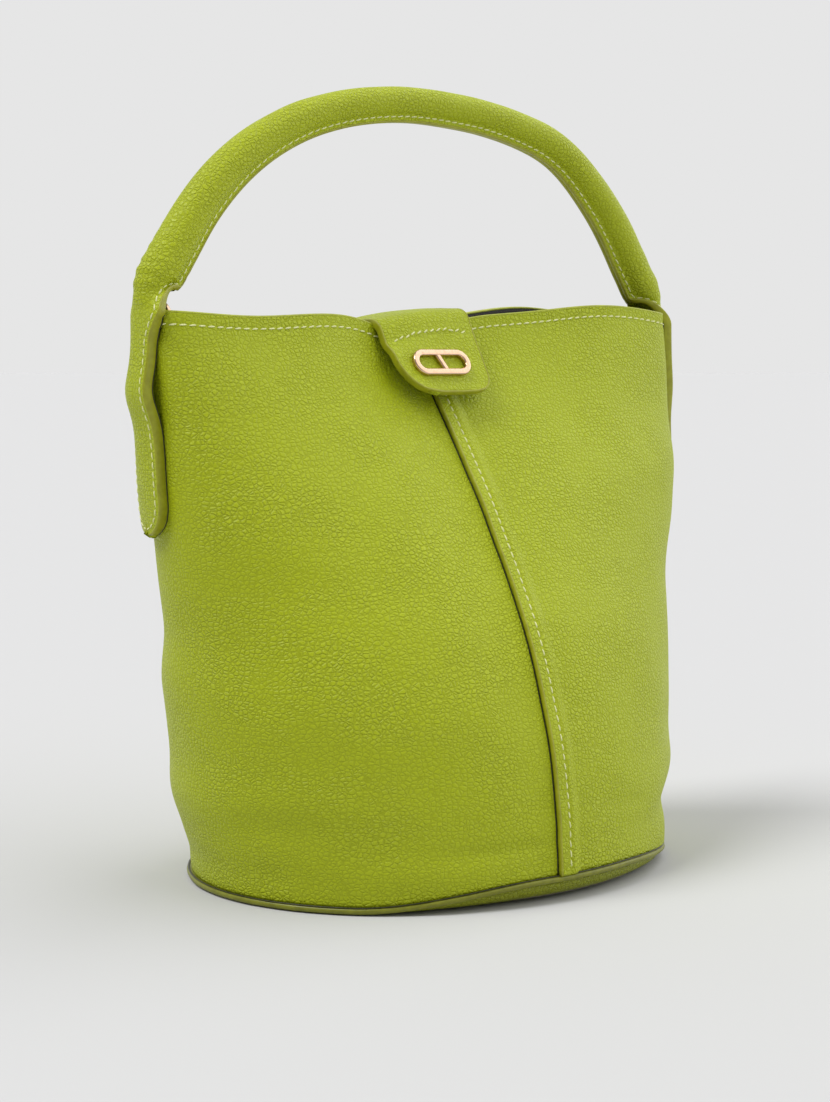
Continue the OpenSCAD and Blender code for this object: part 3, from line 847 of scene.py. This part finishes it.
def on_profile(side, z, arc):
    profile = end_profile(side, z)
    for (a, first), (b, second) in zip(profile, profile[1:]):
        if b >= arc:
            return first.lerp(second, (arc - a) / (b - a))
    return profile[-1][1]


def end_spine(side, z):
    """The outside of a flat end, down the side of the body."""
    bow = (3.6 if side < 0 else 1.0) * bell(z, RIM_H - 33, 11)
    return Vector((on_profile(side, z, 0).x + bow, 0, z))


leg_way = Vector((math.cos(rad(LEG_SLOPE)), 0, -math.sin(rad(LEG_SLOPE))))


def leg_ends(side):
    top = arch_spine(side, LEG_SLOPE)
    return top, top + leg_way * ((top.z - OPEN_TOP) / math.sin(rad(LEG_SLOPE)))


def neck_spine(side, t):
    """From the foot of the straight leg, over to the side of the body."""
    top, foot = leg_ends(side)
    pull_in, pull_out = leg_way * 36, Vector((0, 0, -24))
    a, b = 2 * t**3 - 3 * t * t + 1, t**3 - 2 * t * t + t
    c, d = -2 * t**3 + 3 * t * t, t**3 - t * t
    return foot * a + pull_in * b + end_spine(side, OPEN_FOOT) * c + pull_out * d


def half_spine(side):
    """Points of one half of the handle, from its crown to the tip of the flat end. Each is its
    place, how round it still is (1 rolled, 0 flat), and the half width of its flat end."""
    stops = [(arch_spine(side, LEG_SLOPE * i / ARCH_STOPS), 1.0, END_HALF)
             for i in range(ARCH_STOPS)]
    top, foot = leg_ends(side)
    for i in range(LEG_STOPS):
        stops.append((top.lerp(foot, i / LEG_STOPS), 1.0, END_HALF))
    for i in range(NECK_STOPS):
        t = i / NECK_STOPS
        stops.append((neck_spine(side, t), 1 - smooth(t * 1.02), END_HALF))
    low = END_TIP + END_HALF
    for i in range(SIDE_STOPS):
        z = blend_between(OPEN_FOOT, low, i / SIDE_STOPS)
        stops.append((end_spine(side, z), 0.0, END_HALF))
    for i in range(TIP_STOPS + 1):
        angle = math.pi / 2 * i / TIP_STOPS
        half = END_HALF * math.cos(angle)
        stops.append((end_spine(side, low - END_HALF * math.sin(angle)), 0.0, max(0.02, half)))
    return stops


def whole_spine():
    left = [(Vector((-p.x, 0, p.z)), roll, wide) for p, roll, wide in half_spine(-1)]
    return list(reversed(left))[:-1] + half_spine(1)


spine = whole_spine()
CROWN_STOP = len(spine) // 2


def spine_out(i):
    """The outward direction of the handle at a stop, square to its run."""
    run = spine[min(len(spine) - 1, i + 1)][0] - spine[max(0, i - 1)][0]
    return Vector((-run.z, 0, run.x)).normalized()


outs = [spine_out(i) for i in range(len(spine))]


def rolled_section(q, radius, fin):
    """The rolled leather across the handle: how far out, and how far sideways."""
    share = abs(q)
    turn_end = 0.80
    if share <= turn_end:
        angle = rad(154) * share / turn_end
        out, aside = radius * (math.cos(angle) - 1), radius * math.sin(angle)
    else:
        p = (share - turn_end) / (1 - turn_end)
        angle = rad(154)
        start = Vector((radius * (math.cos(angle) - 1), radius * math.sin(angle)))
        tip = Vector((-2 * radius - fin, HANDLE_LEATHER + 0.05))
        out = blend_between(start.x, tip.x, p)
        aside = blend_between(start.y, tip.y, 1 - (1 - p) ** 2.2)
    return out, math.copysign(aside, q)


def flat_offset(i, q):
    """Where the flat end's outer face lies from its middle: outwards, and to the back."""
    place, roll, half = spine[i]
    side = 1 if i > CROWN_STOP else -1
    z = min(place.z, RIM_H)
    bent = on_profile(side, z, q * half) - on_profile(side, z, 0)
    return bent.x, bent.y, end_middle(side, z)


def handle_section(i, q):
    """The outer face of the handle leather at stop i, from q -1 at the front edge to 1."""
    place, roll, half = spine[i]
    from_crown = min(1.0, abs(i - CROWN_STOP) / (ARCH_STOPS + LEG_STOPS))
    radius = ROLL_R + 2.0 * smooth(from_crown)
    fin = 2.3 + 0.4 * from_crown
    out, aside = rolled_section(q, radius, fin)
    middle = MOUTH_BACK
    if roll < 1:
        flat_out, flat_aside, middle = flat_offset(i, q)
        out = blend_between(flat_out, out, roll)
        aside = blend_between(flat_aside, aside, roll)
        middle = blend_between(middle, MOUTH_BACK, roll)
    spot = Vector((place.x, middle, place.z)) + outs[i] * out
    spot.y += aside
    gather = bell(abs(place.x), 138, 16) * bell(place.z, RIM_H + 17, 14)
    pleats = math.sin(place.z * 0.95 + 2.2 * q * q + 0.6 * place.x) * 0.32 * gather
    body_wave = 0.35 * ripple(spot, 19, 2.2) * (0.35 + 0.65 * roll)
    return spot + outs[i] * (pleats + body_wave) * math.cos(q * 1.2)


def handle_normal(i, q):
    q0, q1 = max(-1, q - 0.02), min(1, q + 0.02)
    i0, i1 = max(0, i - 1), min(len(spine) - 1, i + 1)
    across = handle_section(i, q1) - handle_section(i, q0)
    run = handle_section(i1, q) - handle_section(i0, q)
    out = run.cross(across)
    if out.length < 1e-9:
        return outs[i]
    return out.normalized()


def as_stop(v):
    return min(len(spine) - 1, max(0, round(v * (len(spine) - 1))))


HANDLE_COLUMNS = 72
handle = skin("handle_leather", HANDLE_COLUMNS, len(spine) - 1,
              lambda u, v: handle_section(as_stop(v), 2 * u - 1), HANDLE_LEATHER, [lime],
              (0, MOUTH_BACK, HANDLE_TOP), (0, 0, 1))

BEND_FOOT = (0, MOUTH_BACK * MM, (RIM_H - 4) * MM)
BEND_TOP = (0, MOUTH_BACK * MM, (RIM_H + 17) * MM)
HANDLE_BEND = ("bag", "handle", BEND_FOOT, BEND_TOP)
settle(handle, "body_leather", "handle_wrap", "left_handle_end", "right_handle_end",
       bend=HANDLE_BEND)


def end_stops(side):
    """The stops of one flat end, from its tip up to the rim, which clears the ring."""
    stops = [i for i, (place, roll, half) in enumerate(spine)
             if place.x * side > 0 and roll < 0.40 and place.z < RIM_H]
    return stops if side < 0 else list(reversed(stops))


def backing_piece(side, name):
    stops = end_stops(side)

    def place(u, v):
        i = stops[min(len(stops) - 1, round(v * (len(stops) - 1)))]
        q = (2 * u - 1) * 0.995
        return handle_section(i, q) - handle_normal(i, q) * (HANDLE_LEATHER + 0.05)

    return skin(name, 30, len(stops) - 1, place, BACKING, [lime_fine],
                (side * 140, MOUTH_BACK, RIM_H - 60), (side, 0, 0))


for side, name in SIDES:
    backing = backing_piece(side, name + "_backing_leather")
    settle(backing, "body_leather", name + "_end_backing", bend=HANDLE_BEND)


def edge_line(q):
    """The raw edge of the handle leather and its backing, at half their thickness."""
    line, faces, tall = [], [], []
    for i, (place, roll, half) in enumerate(spine):
        both = blend_between(HANDLE_LEATHER + BACKING + 0.2, HANDLE_LEATHER + 0.1, smooth(roll * 1.4))
        out = handle_normal(i, q * 0.985)
        line.append(handle_section(i, q) - out * (both / 2 - 0.05))
        faces.append(out)
        tall.append(both + 0.25)
    return line, faces, tall


for q, name in ((-1, "front"), (1, "back")):
    line, faces, tall = edge_line(q)
    edge = bead(name + "_handle_edge", line, faces,
                lambda v, tall=tall: tall[round(v * (len(tall) - 1))], 1.2, [olive_edge], across=12)
    settle(edge, "painted_edge", bend=HANDLE_BEND)


def end_shadow_line(side, name):
    """Painted shadow: the dark coat on the front edge of a flat end, where its backing meets the
    body.
    """
    stops = end_stops(side)
    line, faces = [], []
    for i in stops:
        out = handle_normal(i, -0.985)
        line.append(handle_section(i, -1) - out * (HANDLE_LEATHER + BACKING + 0.25))
        faces.append(out)
    foot = bead(name, line, faces, 0.6, 1.15, [painted_shadow_coat], across=8)
    settle(foot, "painted_edge", bend=HANDLE_BEND)


end_shadow_line(-1, "left_end_foot")
end_shadow_line(1, "right_end_foot")


def inset_point(i, sign, inset):
    """The q at which the leather lies inset millimetres from its edge, along its surface."""
    q, run = 1.0, 0.0
    spot = handle_section(i, sign)
    while q > 0.05 and run < inset:
        q -= 0.005
        step = handle_section(i, sign * q)
        run += (step - spot).length
        spot = step
    return sign * q


def handle_thread(sign, name, seed):
    """One row of stitches, from the middle of one end's tip over the arch to the other."""
    line, faces = [], []
    straight = [i for i, (place, roll, half) in enumerate(spine) if half > END_HALF - 0.01]
    first, last = straight[0], straight[-1]
    round_r = END_HALF - STITCH_IN
    tip_z = END_TIP + END_HALF

    def round_end(side, angles):
        for angle in angles:
            z = tip_z - round_r * math.sin(angle)
            near = min((k for k in range(len(spine)) if spine[k][0].x * side > 0
                        and spine[k][0].z < RIM_H), key=lambda k: abs(spine[k][0].z - z))
            bent = on_profile(side, z, sign * round_r * math.cos(angle))
            line.append(Vector((side * bent.x, bent.y, z)))
            faces.append(handle_normal(near, 0.6 * sign * math.cos(angle)))

    steps = [math.pi / 2 * k / 10 for k in range(10, 0, -1)]
    round_end(-1, steps)
    for i in range(first, last + 1):
        roll = spine[i][1]
        inset = blend_between(STITCH_IN, FIN_STITCH_IN, roll)
        q = inset_point(i, sign, inset)
        line.append(handle_section(i, q))
        faces.append(handle_normal(i, q))
    round_end(1, list(reversed(steps)))
    row = threads(name, line, faces, pale_thread, pitch=3.8, length=3.0, thick=0.68, seed=seed)
    settle(row, "body_leather", bend=HANDLE_BEND)


handle_thread(-1, "front_handle_thread", 21)
handle_thread(1, "back_handle_thread", 22)


def core_point(u, v):
    stops = [i for i, (place, roll, half) in enumerate(spine) if roll > 0.995]
    i = stops[min(len(stops) - 1, round(v * (len(stops) - 1)))]
    radius = 4.0
    middle = spine[i][0] - outs[i] * (6.4 + 1.6 * smooth(abs(i - CROWN_STOP)
                                                     / (ARCH_STOPS + LEG_STOPS)))
    strand = 1 + 0.05 * math.cos(6 * math.pi * u + i * 0.8)
    angle = 2 * math.pi * (u if u < 1 else 0)
    return (middle + outs[i] * (radius * strand * math.cos(angle))
            + Vector((0, MOUTH_BACK + radius * strand * math.sin(angle), 0)))


core = tube("handle_cord_core", 24, 100, core_point, [board])
settle(core, "core", "handle_core", body="handle")

# ------------------------------------------------------------------ closure strap
STRAP_X = -9
SNAP_X = -3
STRAP_HALF = 24.2
STRAP_LEATHER = 1.7
STRAP_LINING = 1.4
SNAP_Z = RIM_H - 20
SNAP_SLOPE = 28.74
SNAP_Y = -10.3
STRAP_FACE = 6.3
FLAP_BELOW = 18
CORNER_LEFT = 17
CORNER_RIGHT = 8
CORNER_ROOT = 4
STRAP_STITCH = 29

snap_up = Vector((0, math.sin(rad(SNAP_SLOPE)), math.cos(rad(SNAP_SLOPE))))
snap_out = Vector((0, -math.cos(rad(SNAP_SLOPE)), math.sin(rad(SNAP_SLOPE))))
snap_face = Vector((STRAP_X, SNAP_Y, SNAP_Z)) + snap_out * STRAP_FACE


def back_leather(z):
    """The back of the body under the strap's root."""
    share = share_at(z)
    return MOUTH_BACK * share + body_depth(STRAP_X, share, LAP_LIFT)


def rounded_path(points, rounds=4):
    """Cuts the corners of a polyline again and again, which rounds it."""
    for _ in range(rounds):
        cut = [points[0]]
        for a, b in zip(points, points[1:]):
            cut += [a.lerp(b, 0.25), a.lerp(b, 0.75)]
        points = cut + [points[-1]]
    return points


def even_path(points, step):
    """The same polyline with points about a step apart."""
    whole = run_lengths(points)[-1]
    count = round(whole / step)
    distances = [min(whole - 1e-6, whole * k / count) for k in range(count + 1)]
    return [points[i].lerp(points[i + 1], part) for i, part in places_along(points, distances)]


strap_thick = STRAP_LEATHER + STRAP_LINING
root_points = [Vector((0, back_leather(z) + strap_thick + 0.3, z))
               for z in (RIM_H - 29, RIM_H - 20, RIM_H - 11, RIM_H - 4)]
over_points = [Vector((0, 23.6, RIM_H + 2.0)), Vector((0, 17, RIM_H + 3.3)),
               Vector((0, 6, RIM_H + 3.2)), Vector((0, -6.2, RIM_H + 2.8))]
flap_points = [snap_face + snap_up * t for t in (11, 0, -FLAP_BELOW)]
for point in flap_points:
    point.x = 0
strap_path = even_path(rounded_path(root_points + over_points + flap_points, 3), 0.9)
STRAP_STOPS = len(strap_path)


def strap_out(i):
    run = strap_path[min(STRAP_STOPS - 1, i + 1)] - strap_path[max(0, i - 1)]
    return Vector((0, run.z, -run.y)).normalized()


# How far each stop lies from the strap's tip.
strap_left = run_lengths(list(reversed(strap_path)))
strap_left.reverse()


def strap_side(i, sign):
    """The half width on one side of the strap, which rounds off towards both ends."""
    corner = CORNER_RIGHT if sign > 0 else CORNER_LEFT
    to_tip = strap_left[i]
    half = STRAP_HALF - 0.6 * bell(to_tip, 0, 22)
    if to_tip < corner:
        half -= corner - math.sqrt(max(0.0, corner**2 - (corner - to_tip) ** 2))
    from_root = strap_left[0] - strap_left[i]
    if from_root < CORNER_ROOT:
        half -= CORNER_ROOT - math.sqrt(max(0.0, CORNER_ROOT**2 - (CORNER_ROOT - from_root) ** 2))
    return half


def strap_point(i, q, depth=0.0):
    """A point of the strap at a stop, from q -1 at its left edge to 1, sunk by a depth."""
    aside = q * strap_side(i, 1 if q > 0 else -1)
    out = strap_out(i)
    spot = Vector((STRAP_X + aside, 0, 0)) + strap_path[i]
    puff = 0.35 * bell(strap_left[i], 30.5, 4) + 0.35 * bell(strap_left[i], 8, 8)
    curl = 0.9 * abs(q) ** 3 * bell(strap_left[i], 6, 16)
    groove = 0.3 * bell(strap_left[i], STRAP_STITCH, 1.0) * (1 if abs(q) < 0.86 else 0)
    wobble = 0.25 * ripple(spot, 14, 9.1)
    from_front = smooth((spot.z - RIM_H + 19) / 14)
    spot.z -= 4.6 * (max(0.0, 17 - spot.x) / 46) ** 2 * from_front
    near_badge = bell(strap_left[i], FLAP_BELOW, 9) * (1 - smooth((abs(q) - 0.55) / 0.3))
    return spot + out * ((puff * (1 - q * q) + curl + wobble) * (1 - near_badge) - groove - depth)


def strap_stop(v):
    return min(STRAP_STOPS - 1, max(0, round(v * (STRAP_STOPS - 1))))


STRAP_BEND = ("bag", "closure_strap", (STRAP_X * MM, 0.0255, (RIM_H - 3.5) * MM),
              (STRAP_X * MM, 0.0145, (RIM_H + 3.0) * MM))

strap = skin("closure_strap_leather", 46, STRAP_STOPS - 1,
             lambda u, v: strap_point(strap_stop(v), 2 * u - 1), STRAP_LEATHER, [lime],
             Vector((STRAP_X, 8, RIM_H + 5)), (0, 0, 1))
settle(strap, "body_leather", "strap_outer", "strap_root", bend=STRAP_BEND)
strap_lining = skin("closure_strap_lining", 46, STRAP_STOPS - 1,
                    lambda u, v: strap_point(strap_stop(v), (2 * u - 1) * 0.99,
                                             STRAP_LEATHER + 0.03),
                    STRAP_LINING, [lime_fine], Vector((STRAP_X, 8, RIM_H + 3)), (0, 0, 1))
settle(strap_lining, "body_leather", "strap_lining", bend=STRAP_BEND)

line, faces = [], []
ring_of_stops = ([(i, -1) for i in range(0, STRAP_STOPS)]
                 + [(STRAP_STOPS - 1, q / 8) for q in range(-7, 8)]
                 + [(i, 1) for i in range(STRAP_STOPS - 1, -1, -1)]
                 + [(0, q / 8) for q in range(7, -8, -1)])
for i, q in ring_of_stops:
    out = strap_out(i)
    spot = strap_point(i, q, strap_thick / 2)
    if not line or (spot - line[-1]).length > 0.05:
        line.append(spot)
        faces.append(out)
line.append(line[0].copy())
faces.append(faces[0].copy())
strap_edge = bead("closure_strap_edge", line, faces, strap_thick + 0.25, 1.2, [olive_edge],
                  closed=True)
settle(strap_edge, "painted_edge", bend=STRAP_BEND)

stitch_stop = min(range(STRAP_STOPS), key=lambda i: abs(strap_left[i] - STRAP_STITCH))
line = [strap_point(stitch_stop - round(2.2 * (1 - (q / 17) ** 2)), q / 20) for q in range(-17, 18)]
faces = [strap_out(stitch_stop)] * len(line)
strap_thread = threads("strap_thread", line, faces, pale_thread, pitch=3.3, length=2.9, slant=24,
                       seed=31)
settle(strap_thread, "body_leather", body="closure_strap")

# ------------------------------------------------------------------ strap ring loops
RING_X = 132.29
RING_Z = RIM_H - 11
LOOP_HALF = 4.5


def loop_path(side):
    """Up the facing, over the ring's bar and down again, as seen from the front."""
    radius = 2.0
    facing_x = [side * wall(0 if side > 0 else 180, share_at(RING_Z - 20 + k * 2.0), 0.0).x
                - LEATHER - FACING - 1.3 for k in range(9)]
    path = [Vector((x, 0, RING_Z - 20 + k * 2.0)) for k, x in enumerate(facing_x)]
    for k in range(17):
        angle = rad(-20 + 220 * k / 16)
        path.append(Vector((RING_X + radius * math.cos(angle), 0, RING_Z + radius * math.sin(angle))))
    path += [Vector((min(facing_x[8 - k] - 1.15, RING_X + radius - 1.15), 0, RING_Z - 4 - k * 2.0))
             for k in range(9)]
    return path


loop_lines = {side: loop_path(side) for side in (-1, 1)}


def loop_point(side, u, v):
    line = loop_lines[side]
    spot = line[min(len(line) - 1, round(v * (len(line) - 1)))]
    return Vector((side * spot.x, MOUTH_BACK + LOOP_HALF * (2 * u - 1), spot.z))


for side, name in SIDES:
    loop = skin(name + "_ring_loop_leather", 8, len(loop_lines[side]) - 1,
                lambda u, v, side=side: loop_point(side, u, v), 1.1, [lime_fine],
                (side * RING_X, MOUTH_BACK, RING_Z + 2), (0, 0, 1))
    loop.modifiers["thickness"].offset = 1
    settle(loop, "body_leather", name + "_ring_loop")


# ------------------------------------------------------------------ patch behind the snap
def patch_point(u, v):
    a, b = 2 * u - 1, 2 * v - 1
    shrink = 1 - 0.10 * (a * b) ** 2
    flat = Vector((SNAP_X + 11 * a * shrink, SNAP_Y, SNAP_Z)) + snap_up * (11 * b * shrink)
    return flat - snap_out * (8.3 + 0.9 * (a * a + b * b) / 2 - 0.9)


patch = skin("snap_patch_leather", 16, 16, patch_point, 1.1, [lime_fine],
             Vector((SNAP_X, SNAP_Y, SNAP_Z)) - snap_out * 8, (0, 1, -0.3))
settle(patch, "body_leather", "washer_patch")


# ------------------------------------------------------------------ badge
BADGE_HALF = 9.4
BADGE_R = 4.6
BADGE_BAR = 2.9
BADGE_DOWN = 4.8


def badge_outline(t):
    """Round a long plain link: t runs from 0 to 1. Gives the place and the outward direction."""
    straight, bow = 2 * BADGE_HALF, math.pi * BADGE_R
    run = (t % 1.0) * 2 * (straight + bow)
    # The second half of the outline is the first one turned half round.
    half = 1 if run < straight + bow else -1
    run %= straight + bow
    if run < straight:
        return half * Vector((run - BADGE_HALF, BADGE_R)), half * Vector((0, 1))
    angle = math.pi / 2 - (run - straight) / BADGE_R
    way = Vector((math.cos(angle), math.sin(angle)))
    return half * (Vector((BADGE_HALF, 0)) + way * BADGE_R), half * way


badge_middle = Vector((STRAP_X - 0.5, SNAP_Y, SNAP_Z)) + snap_out * STRAP_FACE - snap_up * BADGE_DOWN


def on_badge(flat, high):
    return badge_middle + Vector((flat.x, 0, 0)) + snap_up * flat.y + snap_out * high


def badge_point(u, v):
    place, way = badge_outline(v if v < 1 else 0)
    c, s = squared_round(u, 0.55)
    return on_badge(place + way * (BADGE_BAR / 2 * c), 1.1 + 1.3 * s)


badge_link = tube("badge_link", 16, 120, badge_point, [gold])
settle(badge_link, "pale_gold", "badge", body="closure_strap")


def badge_bar_point(slant, u, v):
    """A slanting bar that crosses the link."""
    c, s = squared_round(u, 0.55)
    reach = BADGE_R * (2 * v - 1)
    return on_badge(Vector((slant * reach + 1.3 * c, reach)), 1.0 + 1.1 * s)


badge_bar = tube("badge_bar", 14, 12, lambda u, v: badge_bar_point(-0.35, u, v), [gold])
settle(badge_bar, "pale_gold", body="closure_strap")


# ------------------------------------------------------------------ finishes of the hard pieces
def refinish(node, material):
    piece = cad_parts[node]
    piece.data.materials.clear()
    piece.data.materials.append(material)


for node in ("left_badge_washer", "right_badge_washer", "snap_stud", "stud_washer",
             "snap_socket", "socket_washer", "left_d_ring", "right_d_ring"):
    refinish(node, gold)
refinish("base_board", board)


# ------------------------------------------------------------------ studio
PAPER = (0.791, 0.791, 0.791, 1)
NEAR_SIDE = (0.34, 0.34, 0.35, 1)
FLOOR_TONE = 0.548  # meets the backdrop without a line


def studio_floor():
    """A pale plain floor that runs far out to the backdrop."""
    def place(u, v):
        turn = 2 * math.pi * (u if u < 1 else 0)
        reach = 60000 * v ** 3
        return Vector((reach * math.cos(turn), reach * math.sin(turn), -0.1))

    bm = placed_grid(64, 24, place)
    face_outwards(bm, Vector((0, 0, 0)), Vector((0, 0, 1)))
    paint = Paint("studio_paper")
    paint.set(Base_Color=(FLOOR_TONE, FLOOR_TONE, FLOOR_TONE, 1), Roughness=1.0)
    paint.shader.inputs["Specular IOR Level"].default_value = 0.0
    finish_mesh("studio_floor", bm, [paint.material])


def distant_light(name, azimuth, height, spread, strength):
    """A big soft light far away. azimuth is seen from above, anticlockwise from +X."""
    data = bpy.data.lights.new(name, "SUN")
    data.angle = rad(spread)
    data.energy = strength
    lamp = bpy.data.objects.new(name, data)
    way = Vector((math.cos(rad(azimuth)) * math.cos(rad(height)),
                  math.sin(rad(azimuth)) * math.cos(rad(height)), math.sin(rad(height))))
    lamp.location = way * 3
    lamp.rotation_euler = way.to_track_quat("Z", "Y").to_euler()
    bpy.context.scene.collection.objects.link(lamp)


studio_floor()
distant_light("key_light", 165, 58, 30, 2.1)
distant_light("right_light", -34, 42, 90, 1.85)


def backdrop():
    """A pale even backdrop behind the bag, and a dimmer room on the camera's side."""
    world = bpy.data.worlds.new("studio")
    bpy.context.scene.world = world
    world.use_nodes = True
    room = Nodes(world.node_tree)
    way = room.node("ShaderNodeTexCoord", out="Generated")
    toward = room.node("ShaderNodeVectorMath", {"operation": "DOT_PRODUCT"},
                       {0: way, 1: (-math.sin(rad(40)), -math.cos(rad(40)), 0)}, out="Value")
    shade = world.node_tree.nodes["Background"]
    room.feed(shade.inputs["Color"], room.mix(room.step(toward, -0.80, 0.2), PAPER, NEAR_SIDE))
    shade.inputs["Strength"].default_value = 1.0


backdrop()

camera_data = bpy.data.cameras.new("camera")
camera_data.sensor_fit = "VERTICAL"
camera_data.sensor_height = 36
camera_data.lens = 71.74
camera_data.clip_end = 100
camera = bpy.data.objects.new("camera", camera_data)
camera.location = (-0.6161, -0.7342, 0.2183)
heading = math.degrees(math.atan2(0.6161, 0.7342)) - 0.39
camera.rotation_euler = (rad(90 - 4.84), 0, -rad(heading))
bpy.context.scene.collection.objects.link(camera)
bpy.context.scene.camera = camera
bpy.context.scene.view_settings.view_transform = "Standard"
